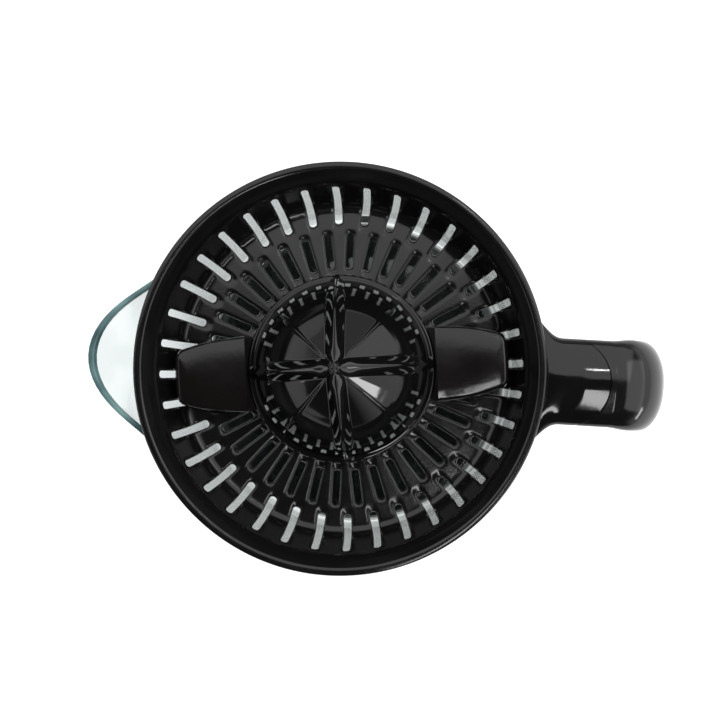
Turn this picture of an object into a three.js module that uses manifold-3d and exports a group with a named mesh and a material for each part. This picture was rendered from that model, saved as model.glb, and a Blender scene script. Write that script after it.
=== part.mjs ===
// Citrus press juicer: a motor base with a spindle, a clear jug, a slotted sieve and a reaming cone.
// Millimetres, +Z up. The origin is on the drive axis, at the underside of the base plate's hub.
// The handle is on +X and the pouring spout on -X.
import * as THREE from 'three';
import { mergeVertices } from 'three/addons/utils/BufferGeometryUtils.js';
import Module from 'manifold-3d';

const wasm = await Module();
wasm.setup();

// ---- driving dimensions ----
const GAP = 0.3; // between pieces that touch
const WALL = 2.5; // moulded walls of the base
const CLEAR_WALL = 2.4; // wall of the jug
const RIM_R = 80; // outside of the sieve's rim
const RIM_Z = 185;
const RIM_BAND = 3; // flat width of the rim
const JUG_TOP_R = 77.2;
const JUG_TOP_Z = 181;
const JUG_FLOOR_R = 66;
const JUG_FLOOR_Z = 75.8;
const CHIMNEY_R = 16.7; // tube through the middle of the jug
const CHIMNEY_TOP_Z = 148;
const SPOUT_REACH = 21.3;
const SPOUT_HALF_ANGLE = 30; // degrees
const SPOUT_LOW_Z = 112;
const BASE_R = 66.5;
const BASE_LOW_Z = 4;
const BASE_TOP_Z = 75.5;
const COLUMN_R = 12.5;
const COLUMN_TOP_Z = 146;
const PLATE_LOW_Z = 44; // gear plate
const PLATE_TOP_Z = 46.5;
const SIEVE_FLOOR_Z = 159.3;
const SIEVE_CORNER_R = 66.4;
const SLOTS = 36; // in each of the two rings
const SLOT_WIDTH = 3.1;
const OUTER_SLOT = [57.4, 76]; // inner and outer radius
const OUTER_SLOT_TOP_Z = 176;
const INNER_SLOT = [39.7, 53.7];
const CONE_FOOT_R = 37;
const CONE_FOOT_Z = 168;
const CONE_TOP_Z = 211;
const CONE_TURN = 6.4; // degrees from the handle to a rib
const WING_REACH = 66;
const WING_LOW_Z = 164.5;
const HANDLE_END_X = 128;
const HANDLE_HALF_WIDTH = 16.8;
const HANDLE_SEAM_X = 105;
const HANDLE_TOP_Z = 180;
const HANDLE_LOW_Z = 92;
const SPINDLE_R = 4;
const HEX_R = 4.6; // corner radius of the spindle's drive flats
const HEAD_HEX_R = 5.2;
const BACKLASH = 0.3;
const PRESSURE_ANGLE = 20;

const deg = THREE.MathUtils.degToRad;
const group = new THREE.Group();

// ---- materials ----
const plastic = (color, roughness = 0.35) => new THREE.MeshStandardMaterial({ color, roughness });
const metal = (color, roughness = 0.35) => new THREE.MeshStandardMaterial({ color, roughness, metalness: 1 });
const BLACK = plastic(0x141416, 0.25);
const SMOKE = plastic(0x18181a, 0.15);
const SATIN = plastic(0x3a3b3e, 0.5);
const CLEAR = plastic(0xd9e4e4, 0.05);
const ACETAL = plastic(0xe8e4d8, 0.4);
const GREY = plastic(0x55585c, 0.5);
const RUBBER = plastic(0x101010, 0.9);
const STEEL = metal(0xb9bbbe);
const BRASS = metal(0xc9a35a);
const COPPER = metal(0xb8693a);

// ---- geometry helpers ----

// Merges a geometry's shared corners, drops flat triangles and turns its faces outward.
function closed(geometry) {
  const bare = new THREE.BufferGeometry();
  bare.setAttribute('position', geometry.getAttribute('position'));
  if (geometry.index) bare.setIndex(geometry.index);
  const merged = mergeVertices(bare, 1e-4);
  const at = merged.getAttribute('position');
  const corners = [0, 1, 2].map(() => new THREE.Vector3());
  const faces = [];
  let volume = 0;
  for (let i = 0; i < merged.index.count; i += 3) {
    const ids = [0, 1, 2].map((k) => merged.index.getX(i + k));
    if (new Set(ids).size < 3) continue;
    ids.forEach((id, k) => corners[k].fromBufferAttribute(at, id));
    volume += corners[0].dot(corners[1].clone().cross(corners[2]));
    faces.push(ids);
  }
  const outward = volume > 0 ? faces : faces.map(([a, b, c]) => [a, c, b]);
  merged.setIndex(outward.flat());
  return merged;
}

function toManifold(geometry) {
  const g = closed(geometry);
  const mesh = new wasm.Mesh({
    numProp: 3,
    vertProperties: new Float32Array(g.getAttribute('position').array),
    triVerts: new Uint32Array(g.index.array),
  });
  return new wasm.Manifold(mesh);
}

function fromManifold(body) {
  const mesh = body.getMesh();
  const g = new THREE.BufferGeometry();
  g.setAttribute('position', new THREE.BufferAttribute(new Float32Array(mesh.vertProperties), 3));
  g.setIndex(new THREE.BufferAttribute(new Uint32Array(mesh.triVerts), 1));
  return g;
}

const joined = (...parts) => fromManifold(parts.map(toManifold).reduce((a, b) => a.add(b)));
const cut = (part, ...tools) => fromManifold(tools.map(toManifold).reduce((a, b) => a.subtract(b), toManifold(part)));
const common = (a, b) => fromManifold(toManifold(a).intersect(toManifold(b)));

// A profile of [radius, height] points turned round the Z axis.
function turned(points, segments = 48) {
  const lathe = new THREE.LatheGeometry(points.map(([r, z]) => new THREE.Vector2(r, z)), segments);
  return closed(lathe.rotateX(Math.PI / 2));
}

// The same for a profile that closes on itself.
const ring = (points, segments = 48) => turned([...points, points[0]], segments);

// A hollow tube from z0 to z1.
const tube = (inner, outer, z0, z1, segments = 32) =>
  ring([[inner, z0], [outer, z0], [outer, z1], [inner, z1]], segments);

// A solid rod from z0 to z1.
const rod = (r, z0, z1, segments = 24) => turned([[0, z0], [r, z0], [r, z1], [0, z1]], segments);

// A flat outline pulled up from z0 to z1.
function prism(shape, z0, z1, curveSegments = 8) {
  const g = new THREE.ExtrudeGeometry(shape, { depth: z1 - z0, bevelEnabled: false, curveSegments });
  return g.translate(0, 0, z0);
}

const outline = (points) => new THREE.Shape(points.map(([x, y]) => new THREE.Vector2(x, y)));

function block(x0, x1, y0, y1, z0, z1) {
  const g = new THREE.BoxGeometry(x1 - x0, y1 - y0, z1 - z0);
  return g.translate((x0 + x1) / 2, (y0 + y1) / 2, (z0 + z1) / 2);
}

const polar = (r, degrees) => [r * Math.cos(deg(degrees)), r * Math.sin(deg(degrees))];

function add(name, geometry, material, x = 0, y = 0, z = 0) {
  const mesh = new THREE.Mesh(closed(geometry), material);
  mesh.name = name;
  mesh.position.set(x, y, z);
  group.add(mesh);
  return mesh;
}

// A countersunk-free pan-head screw with its head at z = 0, pointing up.
const screw = (r, length) => turned([[0, 0], [2 * r, 0], [2 * r, r], [r, r], [r, length], [0, length]], 8);

// ---- base ----

const BOSS_R = 56.5;
const BOSS_ANGLES = [20, 110, 200, 290];
const POST_R = 46;
const POST_ANGLES = [20, 215, 290];
const PILOT_R = 1.5;
const SCREW_R = 1.2;
const GLAND_Z = 18;

function baseHousing() {
  const outside = [
    [BASE_R - 1, BASE_LOW_Z], [BASE_R, 10], [BASE_R - 0.4, 40], [BASE_R - 1.6, 64], [BASE_R - 2.8, 71.5],
    [BASE_R - 6, BASE_TOP_Z], [COLUMN_R + 1.2, BASE_TOP_Z], [COLUMN_R, 84], [COLUMN_R - 1.8, COLUMN_TOP_Z],
  ];
  const inside = [
    [8.4, COLUMN_TOP_Z], [8.4, 138], [9.4, BASE_TOP_Z - WALL], [BASE_R - 7, BASE_TOP_Z - WALL],
    [BASE_R - 4.2, 64], [BASE_R - 3, 40], [BASE_R - 2.7, 10], [BASE_R - 2.7, BASE_LOW_Z],
  ];
  const shell = ring([...outside, ...inside], 40);
  const bosses = BOSS_ANGLES.map((a) => rod(4, 8.3, BASE_TOP_Z - 3, 10).translate(...polar(BOSS_R, a), 0));
  const posts = POST_ANGLES.map((a) => rod(3.5, PLATE_TOP_Z + GAP, BASE_TOP_Z - 1, 10).translate(...polar(POST_R, a), 0));
  const pilots = BOSS_ANGLES.map((a) => rod(PILOT_R, 0, 22, 8).translate(...polar(BOSS_R, a), 0));
  const postPilots = POST_ANGLES.map((a) => rod(PILOT_R, 40, 58, 8).translate(...polar(POST_R, a), 0));
  const inlet = rod(5.3, 55, 75, 16).rotateX(-Math.PI / 2).translate(0, 0, GLAND_Z);
  return cut(joined(shell, ...bosses, ...posts), ...pilots, ...postPilots, inlet);
}

const FOOT_R = 52;
const FEET_ANGLES = [0, 90, 180, 270];

function basePlate() {
  const edge = BASE_R - 2.7 - GAP;
  const plate = turned([
    [0, 0], [14, 0], [15.5, 1.5], [15.5, 5], [edge, 5], [edge, 8], [12.5, 8], [12.5, 2.5], [0, 2.5],
  ], 40);
  const holes = BOSS_ANGLES.map((a) => rod(PILOT_R, 0, 10, 8).translate(...polar(BOSS_R, a), 0));
  const sinks = BOSS_ANGLES.map((a) => rod(2.8, 0, 6.6, 8).translate(...polar(BOSS_R, a), 0));
  const footHoles = FEET_ANGLES.map((a) => rod(2.8, 0, 10, 8).translate(...polar(FOOT_R, a), 0));
  return cut(plate, ...holes, ...sinks, ...footHoles);
}

const foot = () => turned([[0, 0], [6.2, 0], [7, 1.2], [7, 4.7], [2.3, 4.7], [2.3, 9.5], [0, 9.5]], 12);

add('base_housing', baseHousing(), BLACK);
add('base_plate', basePlate(), BLACK);
FEET_ANGLES.forEach((a, i) => add(`foot_${i + 1}`, foot(), RUBBER, ...polar(FOOT_R, a)));
BOSS_ANGLES.forEach((a, i) => add(`base_screw_${i + 1}`, screw(SCREW_R, 15), STEEL, ...polar(BOSS_R, a), 5.1));

// A grooved sleeve in the housing's wall, its axis along Y.
function cordGland() {
  const sleeve = ring([[3.2, BASE_R - 9], [5, BASE_R - 9], [5, BASE_R + 0.4], [7, BASE_R + 0.4],
    [7, BASE_R + 1.6], [5.4, BASE_R + 4], [3.2, BASE_R + 4]], 16);
  return sleeve.rotateX(-Math.PI / 2);
}
add('cord_gland', cordGland(), RUBBER, 0, 0, GLAND_Z);

// ---- gear train ----

const ADDENDUM = 0.78; // both in modules
const DEDENDUM = 1.0;
const involute = (angle) => Math.tan(angle) - angle;

// Outline of a spur gear. The flanks are involutes through `steps` points, thinned for backlash.
function gearOutline(teeth, module, phase, steps) {
  const pitch = (teeth * module) / 2;
  const base = pitch * Math.cos(deg(PRESSURE_ANGLE));
  const root = pitch - DEDENDUM * module;
  const tip = pitch + ADDENDUM * module;
  const atPitch = (Math.PI * module / 2 - BACKLASH) / 2 / pitch + involute(deg(PRESSURE_ANGLE));
  const halfAngle = (r) => (r <= base ? atPitch : atPitch - involute(Math.acos(base / r)));
  const low = Math.max(root, base);
  const radii = Array.from({ length: steps }, (_, i) => low + ((tip - low) * i) / (steps - 1));
  if (root < base) radii.unshift(root);
  const points = [];
  for (let t = 0; t < teeth; t++) {
    const middle = phase + (2 * Math.PI * t) / teeth;
    radii.forEach((r) => points.push([r, middle - halfAngle(r)]));
    [...radii].reverse().forEach((r) => points.push([r, middle + halfAngle(r)]));
  }
  return outline(points.map(([r, a]) => [r * Math.cos(a), r * Math.sin(a)]));
}

// The phase that puts a gear's gap opposite a tooth of the gear it meets, along `direction`.
function meshPhase(phase, teeth, direction, otherTeeth) {
  const offset = ((phase - direction) * teeth) / (2 * Math.PI) + 0.5;
  return direction + Math.PI - (offset * 2 * Math.PI) / otherTeeth;
}

const OUTPUT = { teeth: 40, module: 1.25, phase: 0 };
const SECOND_PINION = { teeth: 12, module: 1.25 };
const SECOND_WHEEL = { teeth: 38, module: 1, phase: 0 };
const FIRST_PINION = { teeth: 10, module: 1 };
const FIRST_WHEEL = { teeth: 42, module: 0.8, phase: 0 };
const MOTOR_PINION = { teeth: 9, module: 0.8 };
const TO_SECOND = deg(90); // directions of the lines of centres
const TO_FIRST = deg(200);
const TO_MOTOR = deg(-95);
const centres = (a, b) => (a.teeth * a.module + b.teeth * b.module) / 2;
const step = ([x, y], direction, r) => [x + r * Math.cos(direction), y + r * Math.sin(direction)];
const SECOND_AT = step([0, 0], TO_SECOND, centres(OUTPUT, SECOND_PINION));
const FIRST_AT = step(SECOND_AT, TO_FIRST, centres(SECOND_WHEEL, FIRST_PINION));
const MOTOR_AT = step(FIRST_AT, TO_MOTOR, centres(FIRST_WHEEL, MOTOR_PINION));
SECOND_PINION.phase = meshPhase(OUTPUT.phase, OUTPUT.teeth, TO_SECOND, SECOND_PINION.teeth);
FIRST_PINION.phase = meshPhase(SECOND_WHEEL.phase, SECOND_WHEEL.teeth, TO_FIRST, FIRST_PINION.teeth);
MOTOR_PINION.phase = meshPhase(FIRST_WHEEL.phase, FIRST_WHEEL.teeth, TO_MOTOR, MOTOR_PINION.teeth);

const gear = (g, z0, z1, steps) => prism(gearOutline(g.teeth, g.module, g.phase, steps), z0, z1);
const hexRod = (r, z0, z1) => rod(r, z0, z1, 6);

function outputGear() {
  const body = joined(gear(OUTPUT, 58, 65, 2), rod(9, 47.8, 58.5), rod(8, 64.5, 69.5));
  return cut(body, hexRod(HEX_R + 0.4, 40, 80));
}

function compoundGear(wheel, wheelZ, pinion, pinionTop, axleR, hubZ) {
  const body = joined(
    gear(wheel, wheelZ[0], wheelZ[1], 2),
    gear(pinion, wheelZ[1] - 0.5, pinionTop, 3),
    rod(axleR + 1.6, hubZ, wheelZ[0] + 0.5, 16),
  );
  return cut(body, rod(axleR + GAP, hubZ - 1, pinionTop + 1, 16));
}

const FIRST_AXLE_R = 1.5;
const SECOND_AXLE_R = 2;
const ROTOR_R = 12;
const CORE_Z = [18, 34];
const SHAFT_R = 1.6;

function rotor() {
  const body = turned([
    [0, 12.8], [SHAFT_R, 12.8], [SHAFT_R, 16], [ROTOR_R - 1, 16.2], [ROTOR_R, 17], [ROTOR_R, 35],
    [ROTOR_R - 1, 35.8], [SHAFT_R, 36], [SHAFT_R, 51], [0, 51],
  ], 24);
  return joined(body, gear(MOTOR_PINION, 47.4, 51.6, 3));
}

add('output_gear', outputGear(), ACETAL);
add('second_gear', compoundGear(SECOND_WHEEL, [52.5, 56.5], SECOND_PINION, 66, SECOND_AXLE_R, 47), ACETAL, ...SECOND_AT);
add('first_gear', compoundGear(FIRST_WHEEL, [47.5, 51.5], FIRST_PINION, 57.2, FIRST_AXLE_R, 46.9), ACETAL, ...FIRST_AT);
add('rotor', rotor(), STEEL, ...MOTOR_AT);
add('second_axle', rod(SECOND_AXLE_R, PLATE_LOW_Z, 69, 16), STEEL, ...SECOND_AT);
add('first_axle', rod(FIRST_AXLE_R, PLATE_LOW_Z, 59, 16), STEEL, ...FIRST_AT);

// ---- spindle ----

const SPRING_Z = [69.8, 91.7];
const COLLAR_Z = [92, 95];

function driveSpindle() {
  const shaft = turned([
    [0, 70], [SPINDLE_R, 70], [SPINDLE_R, COLLAR_Z[0]], [7.6, COLLAR_Z[0]], [7.6, COLLAR_Z[1]],
    [SPINDLE_R, COLLAR_Z[1]], [SPINDLE_R, 154], [0, 154],
  ], 24);
  return joined(shaft, hexRod(HEX_R, 43, 71), hexRod(HEAD_HEX_R, 153, 186).rotateZ(deg(CONE_TURN)));
}

// A tube of `sides` sides along a curve.
function wire(curve, r, steps, sides = 6) {
  const section = Array.from({ length: sides }, (_, i) => polar(r, (360 * i) / sides));
  return new THREE.ExtrudeGeometry(outline(section), { steps, extrudePath: curve, bevelEnabled: false });
}

class Helix extends THREE.Curve {
  constructor(radius, z0, z1, turns) {
    super();
    Object.assign(this, { radius, z0, z1, turns });
  }

  getPoint(t, target = new THREE.Vector3()) {
    const angle = 2 * Math.PI * this.turns * t;
    const z = this.z0 + (this.z1 - this.z0) * t;
    return target.set(this.radius * Math.cos(angle), this.radius * Math.sin(angle), z);
  }
}

const SPRING_WIRE_R = 0.6;
const springPath = new Helix(6.2, SPRING_Z[0] + SPRING_WIRE_R + 0.2, SPRING_Z[1] - SPRING_WIRE_R - 0.2, 4.5);

add('drive_spindle', driveSpindle(), STEEL);
add('return_spring', wire(springPath, SPRING_WIRE_R, 40, 5), STEEL);
add('thrust_washer', tube(5.4, 9, 47.1, 47.5, 18), BRASS);
add('lower_bush', tube(HEX_R + GAP, 7, 43.7, 46.8, 18), BRASS);
add('upper_bush', tube(SPINDLE_R + GAP, 8, 138.3, 145.7, 18), BRASS);
add('spindle_seal', ring([[4.3, 146.3], [10, 146.3], [10, 147.4], [6, 149.4], [4.3, 149.4]], 18), RUBBER);

// ---- gear plate and motor ----

const MOTOR_SCREWS = [[15.5, 15.5], [-16, -11]]; // from the rotor's axis
const MOTOR_SCREW_R = 1.5;
const worldMotor = ([x, y]) => [x + MOTOR_AT[0], y + MOTOR_AT[1]];

function gearPlate() {
  const plate = rod(52, PLATE_LOW_Z, PLATE_TOP_Z, 36);
  const spacers = MOTOR_SCREWS.map((p) => rod(3.2, CORE_Z[1] + GAP, PLATE_LOW_Z + 1, 12).translate(...worldMotor(p), 0));
  const holes = [
    rod(7 + GAP, 40, 50),
    rod(4 + GAP, 40, 50).translate(...MOTOR_AT, 0),
    rod(FIRST_AXLE_R + GAP, 40, 50, 16).translate(...FIRST_AT, 0),
    rod(SECOND_AXLE_R + GAP, 40, 50, 16).translate(...SECOND_AT, 0),
    ...MOTOR_SCREWS.map((p) => rod(MOTOR_SCREW_R + GAP, 30, 50, 10).translate(...worldMotor(p), 0)),
    ...POST_ANGLES.map((a) => rod(PILOT_R, 40, 50, 8).translate(...polar(POST_R, a), 0)),
  ];
  return cut(joined(plate, ...spacers), ...holes);
}

// A stack of laminations: bore round the rotor, window for the coil, limb along X.
const CORE = { halfWidth: 21, back: 21, front: -40, limb: -31, window: -17, bore: ROTOR_R + 0.6 };

function motorCore() {
  const stack = block(-CORE.halfWidth, CORE.halfWidth, CORE.front, CORE.back, ...CORE_Z);
  const bore = rod(CORE.bore, 10, 40, 24);
  const window = block(-11.5, 11.5, CORE.limb, CORE.window, 10, 40);
  const holes = MOTOR_SCREWS.map(([x, y]) => rod(MOTOR_SCREW_R + GAP, 10, 40, 10).translate(x, y, 0));
  return cut(stack, bore, window, ...holes);
}

// Winding round the limb, a square ring 6 mm thick.
function motorCoil() {
  const thick = 6;
  const outer = block(-11, 11, CORE.front - thick, CORE.limb + thick, CORE_Z[0] - thick, CORE_Z[1] + thick - 1);
  const hole = block(-20, 20, CORE.front - GAP, CORE.limb + GAP, CORE_Z[0] - GAP, CORE_Z[1] + GAP);
  return cut(outer, hole);
}

function motorBracket() {
  const [a, b] = MOTOR_SCREWS;
  const strap = new THREE.Shape();
  strap.absarc(a[0], a[1], 5, deg(-45), deg(125), false);
  strap.absarc(b[0], b[1], 5, deg(125), deg(315), false);
  const body = joined(prism(strap, 13.4, 15.4, 4), rod(5.5, 12.2, 15.4, 16));
  const holes = [a, b].map(([x, y]) => rod(MOTOR_SCREW_R + GAP, 10, 40, 10).translate(x, y, 0));
  const legs = [a, b].map(([x, y]) => rod(3.2, 15, CORE_Z[0] - GAP, 10).translate(x, y, 0));
  return cut(joined(body, ...legs), rod(3.6, 10, 20, 16), ...holes);
}

add('gear_plate', gearPlate(), GREY);
POST_ANGLES.forEach((a, i) => add(`plate_screw_${i + 1}`, screw(SCREW_R, 14), STEEL, ...polar(POST_R, a), 42.5));
add('motor_core', motorCore(), STEEL, ...MOTOR_AT);
add('motor_coil', motorCoil(), COPPER, ...MOTOR_AT);
add('motor_bracket', motorBracket(), STEEL, ...MOTOR_AT);
add('motor_bush_upper', tube(SHAFT_R + GAP, 4, 43.7, 46.8, 16), BRASS, ...MOTOR_AT);
add('motor_bush_lower', tube(SHAFT_R + GAP, 3.3, 12.2, 15.4, 16), BRASS, ...MOTOR_AT);
MOTOR_SCREWS.forEach((p, i) => add(`motor_screw_${i + 1}`, screw(MOTOR_SCREW_R, 34.5), STEEL, ...worldMotor(p), 11.6));

// ---- switch and leads ----

const LEVER_PIVOT = [37.5, 42.1]; // x and z

function switchBody() {
  const body = joined(block(24, 44, -5, 5, 24, 38), block(38.2, 44, -5, 5, 37.5, PLATE_LOW_Z - GAP));
  return cut(body, block(26, 37, -6, 6, 36.5, 39));
}

// A strip under the spindle, hooked to the switch at its outer end.
function switchLever() {
  const side = outline([[-5, 41.6], [30, 41.6], [32, 40], [34, 40], [LEVER_PIVOT[0], 41.5],
    [LEVER_PIVOT[0], 42.6], [-5, 42.6]]);
  return prism(side, -3.5, 3.5).rotateX(Math.PI / 2);
}

const route = (points) => new THREE.CatmullRomCurve3(points.map((p) => new THREE.Vector3(...p)));
const LEADS = {
  lead_supply: [[0, 57, GLAND_Z], [3, 53, 16.5], [12, 47, 12.5], [24, 39, 12], [30, 32.4, 12]],
  lead_switch: [[32, 19.8, 12], [33, 13, 12.5], [34, 5, 15], [34, 1, 19], [34, 0, 23.4]],
  lead_motor: [[21.2, 24, 12], [16, 16, 11], [10, -4, 10.5], [3, -22, 11], [-6, -31, 13], [-12.9, -31.5, 14]],
};

add('switch_body', switchBody(), plastic(0x222428));
add('switch_lever', switchLever(), STEEL);
add('terminal_block', block(22, 38, 20.5, 31.5, 8.3, 17), ACETAL);
Object.entries(LEADS).forEach(([name, points]) => add(name, wire(route(points), 1, 10), RUBBER));

// ---- jug ----

// Pushes the wall of a turned body out into a pouring spout on -X.
function pullSpout(geometry) {
  const at = geometry.getAttribute('position');
  for (let i = 0; i < at.count; i++) {
    const [x, y, z] = [at.getX(i), at.getY(i), at.getZ(i)];
    const r = Math.hypot(x, y);
    const off = Math.abs(Math.PI - Math.abs(Math.atan2(y, x))) / deg(SPOUT_HALF_ANGLE);
    if (off >= 1 || z <= SPOUT_LOW_Z || r < JUG_FLOOR_R - 4) continue;
    const rise = ((z - SPOUT_LOW_Z) / (JUG_TOP_Z - SPOUT_LOW_Z)) ** 1.7;
    const grown = (r + SPOUT_REACH * rise * Math.cos((off * Math.PI) / 2) ** 2) / r;
    at.setXY(i, x * grown, y * grown);
  }
  return geometry;
}

function jug() {
  const levels = [SPOUT_LOW_Z, 136, 160, JUG_TOP_Z];
  const outerAt = (z) => JUG_FLOOR_R + 1 + ((JUG_TOP_R - JUG_FLOOR_R - 1) * (z - 82)) / (JUG_TOP_Z - 82);
  const profile = [
    [CHIMNEY_R - 1.2, JUG_FLOOR_Z], [JUG_FLOOR_R - 4, JUG_FLOOR_Z], [outerAt(81), 81],
    ...levels.map((z) => [outerAt(z), z]),
    ...levels.toReversed().map((z) => [outerAt(z) - CLEAR_WALL, z]),
    [JUG_FLOOR_R - 2.6, 82], [JUG_FLOOR_R - 6, 78.7], [CHIMNEY_R + 1.2, 78.7],
    [CHIMNEY_R - 0.2, CHIMNEY_TOP_Z], [CHIMNEY_R - 2.4, CHIMNEY_TOP_Z],
  ];
  return pullSpout(ring(profile, 48));
}

add('jug', jug(), CLEAR);

// ---- handle ----

const COLLAR_R = [JUG_TOP_R + GAP, 79.7];
const COLLAR_LOW_Z = 169;
const COLLAR_GAP_HALF = 34; // degrees left open for the spout
const SEAM_R = 17.8; // the seam between lug and grip is an arc of this radius
const seamX = (y) => HANDLE_SEAM_X - SEAM_R + Math.sqrt(SEAM_R ** 2 - y ** 2);
const LUG_STRAIGHT_X = 86; // from here out the lug keeps its width
const SPINE = { x0: 107, x1: 114, halfWidth: 11 };

// Plan outline of the lug: it leaves the collar in two hollow curves and ends in the seam's arc.
function lugOutline() {
  const w = HANDLE_HALF_WIDTH;
  const shape = new THREE.Shape();
  shape.moveTo(74, -26.5);
  shape.quadraticCurveTo(78, -w, LUG_STRAIGHT_X, -w);
  shape.lineTo(seamX(w), -w);
  for (let k = -3; k <= 4; k++) shape.lineTo(seamX((k * w) / 4), (k * w) / 4);
  shape.lineTo(LUG_STRAIGHT_X, w);
  shape.quadraticCurveTo(78, w, 74, 26.5);
  shape.lineTo(70, 0);
  return shape;
}

// Plan outline of the grip: the seam's arc inside and a rounded end outside.
function gripOutline() {
  const w = HANDLE_HALF_WIDTH;
  const corner = 11;
  const shape = new THREE.Shape();
  shape.moveTo(seamX(w) + GAP, -w);
  shape.lineTo(HANDLE_END_X - corner, -w);
  shape.absarc(HANDLE_END_X - corner, -w + corner, corner, -Math.PI / 2, 0, false);
  shape.absarc(HANDLE_END_X - corner, w - corner, corner, 0, Math.PI / 2, false);
  for (let k = 4; k >= -3; k--) shape.lineTo(seamX((k * w) / 4) + GAP, (k * w) / 4);
  return shape;
}

// A side outline of [x, z] points pulled along Y.
const sidePrism = (points, halfWidth) =>
  prism(outline(points), -halfWidth, halfWidth).rotateX(Math.PI / 2);

const GRIP_SCREW_Z = [108, 140];

function handleFrame() {
  const band = cut(tube(...COLLAR_R, COLLAR_LOW_Z, JUG_TOP_Z, 48), prism(outline([
    [0, 0], polar(120, 180 - COLLAR_GAP_HALF), polar(120, 180 + COLLAR_GAP_HALF)]), 150, 190));
  const lug = cut(prism(lugOutline(), 165, HANDLE_TOP_Z, 6), rod(COLLAR_R[0], 150, 190, 48));
  const arm = sidePrism([[96, 166], [96, 172], [112, 172], [SPINE.x1, 168], [SPINE.x1, 96], [112, 94],
    [SPINE.x0, 96], [SPINE.x0, 158], [104, 165]], SPINE.halfWidth);
  const holes = GRIP_SCREW_Z.map((z) => rod(PILOT_R, 100, 120, 12).rotateY(Math.PI / 2).translate(0, 0, z));
  const sinks = GRIP_SCREW_Z.map((z) => rod(2.8, 100, 109.5, 12).rotateY(Math.PI / 2).translate(0, 0, z));
  return cut(joined(band, lug, arm), ...holes, ...sinks);
}

function handleGrip() {
  const side = [[90, HANDLE_TOP_Z], [116, 179.2], [122.5, 176], [126.4, 170], [HANDLE_END_X, 160],
    [HANDLE_END_X, 135], [126.6, 112], [123.5, 99], [119, 93.5], [113, HANDLE_LOW_Z], [107.5, 93.5],
    [105.6, 98], [105.6, 158], [103.5, 162.5], [98, 165], [90, 165]];
  const body = common(prism(gripOutline(), 80, 190, 5), sidePrism(side, 40));
  const clear = SPINE.halfWidth + GAP;
  const pocket = sidePrism([[80, 160], [80, 172.4], [112.2, 172.4], [SPINE.x1 + GAP, 168.3],
    [SPINE.x1 + GAP, 95.6], [112.2, 93.6], [100, 94.5]], clear);
  const pilots = GRIP_SCREW_Z.map((z) => rod(PILOT_R, 110, 124, 12).rotateY(Math.PI / 2).translate(0, 0, z));
  return cut(body, pocket, ...pilots);
}

add('handle_frame', handleFrame(), BLACK);
add('handle_grip', handleGrip(), SATIN);
GRIP_SCREW_Z.forEach((z, i) => {
  const s = add(`grip_screw_${i + 1}`, screw(SCREW_R, 13), STEEL, 108, 0, z);
  s.rotation.y = Math.PI / 2;
});

// ---- sieve ----

function sieve() {
  const bowl = ring([
    [RIM_R, JUG_TOP_Z + GAP], [RIM_R, RIM_Z], [RIM_R - RIM_BAND, RIM_Z], [72.4, 180.4],
    [SIEVE_CORNER_R, 161.6], [SIEVE_CORNER_R - 2.4, SIEVE_FLOOR_Z], [24.5, SIEVE_FLOOR_Z - 0.6],
    [22.4, 163], [20.4, 163], [20.6, SIEVE_FLOOR_Z - 2.6], [SIEVE_CORNER_R - 1.8, SIEVE_FLOOR_Z - 2],
    [SIEVE_CORNER_R + 1.8, 161], [74.2, JUG_TOP_Z + GAP],
  ], 72).rotateZ(deg(2.5));
  const slots = [];
  for (let k = 0; k < SLOTS; k++) {
    const inner = block(...INNER_SLOT, -SLOT_WIDTH / 2, SLOT_WIDTH / 2, 150, 165);
    const outer = block(...OUTER_SLOT, -SLOT_WIDTH / 2, SLOT_WIDTH / 2, 150, OUTER_SLOT_TOP_Z);
    slots.push(inner.rotateZ(deg((360 * k) / SLOTS)), outer.rotateZ(deg((360 * (k + 0.5)) / SLOTS)));
  }
  return cut(bowl, ...slots);
}

add('sieve', sieve(), SMOKE);

// ---- cones ----

const RIBS = 4; // major ribs, with a sharp minor rib between each two

// Hollows the wall of a turned cone between its ribs. `depth` gives the share taken off at a height.
function flute(geometry, depth) {
  const at = geometry.getAttribute('position');
  for (let i = 0; i < at.count; i++) {
    const [x, y, z] = [at.getX(i), at.getY(i), at.getZ(i)];
    const turn = (Math.atan2(y, x) / (2 * Math.PI)) * RIBS;
    const off = Math.abs(turn - Math.round(turn)) * 2; // 0 on a major rib, 1 on a minor rib
    const lobe = Math.sin(Math.PI * Math.min(1, Math.max(0, (off - 0.12) / 0.88))) ** 0.8;
    const kept = 1 - depth(z) * lobe - 0.07 * off * Math.min(1, depth(z) * 8);
    at.setXY(i, x * kept, y * kept);
  }
  return geometry;
}

const cone = (points, segments = 40) => turned(points, segments);

function largeCone() {
  const outside = cone([
    [0, CONE_FOOT_Z], [CONE_FOOT_R, CONE_FOOT_Z], [CONE_FOOT_R, 169.2], [34.6, 171], [33, 175], [29.2, 183],
    [23.6, 191], [16.4, 199], [9.4, 205.4], [3.4, 209.6], [1.8, CONE_TOP_Z - 0.2], [0, CONE_TOP_Z],
  ]);
  const depth = (z) => 0.2 * Math.max(0, Math.sin((Math.PI * (z - 170)) / (CONE_TOP_Z - 170))) ** 0.5;
  const inside = cone([[0, 160], [34.8, 160], [34.8, 169], [30, 171], [26, 175], [21.4, 182], [16.8, 190], [10.8, 198],
    [5, 203], [0, 205]], 24);
  return cut(flute(outside, depth), inside);
}

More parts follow.
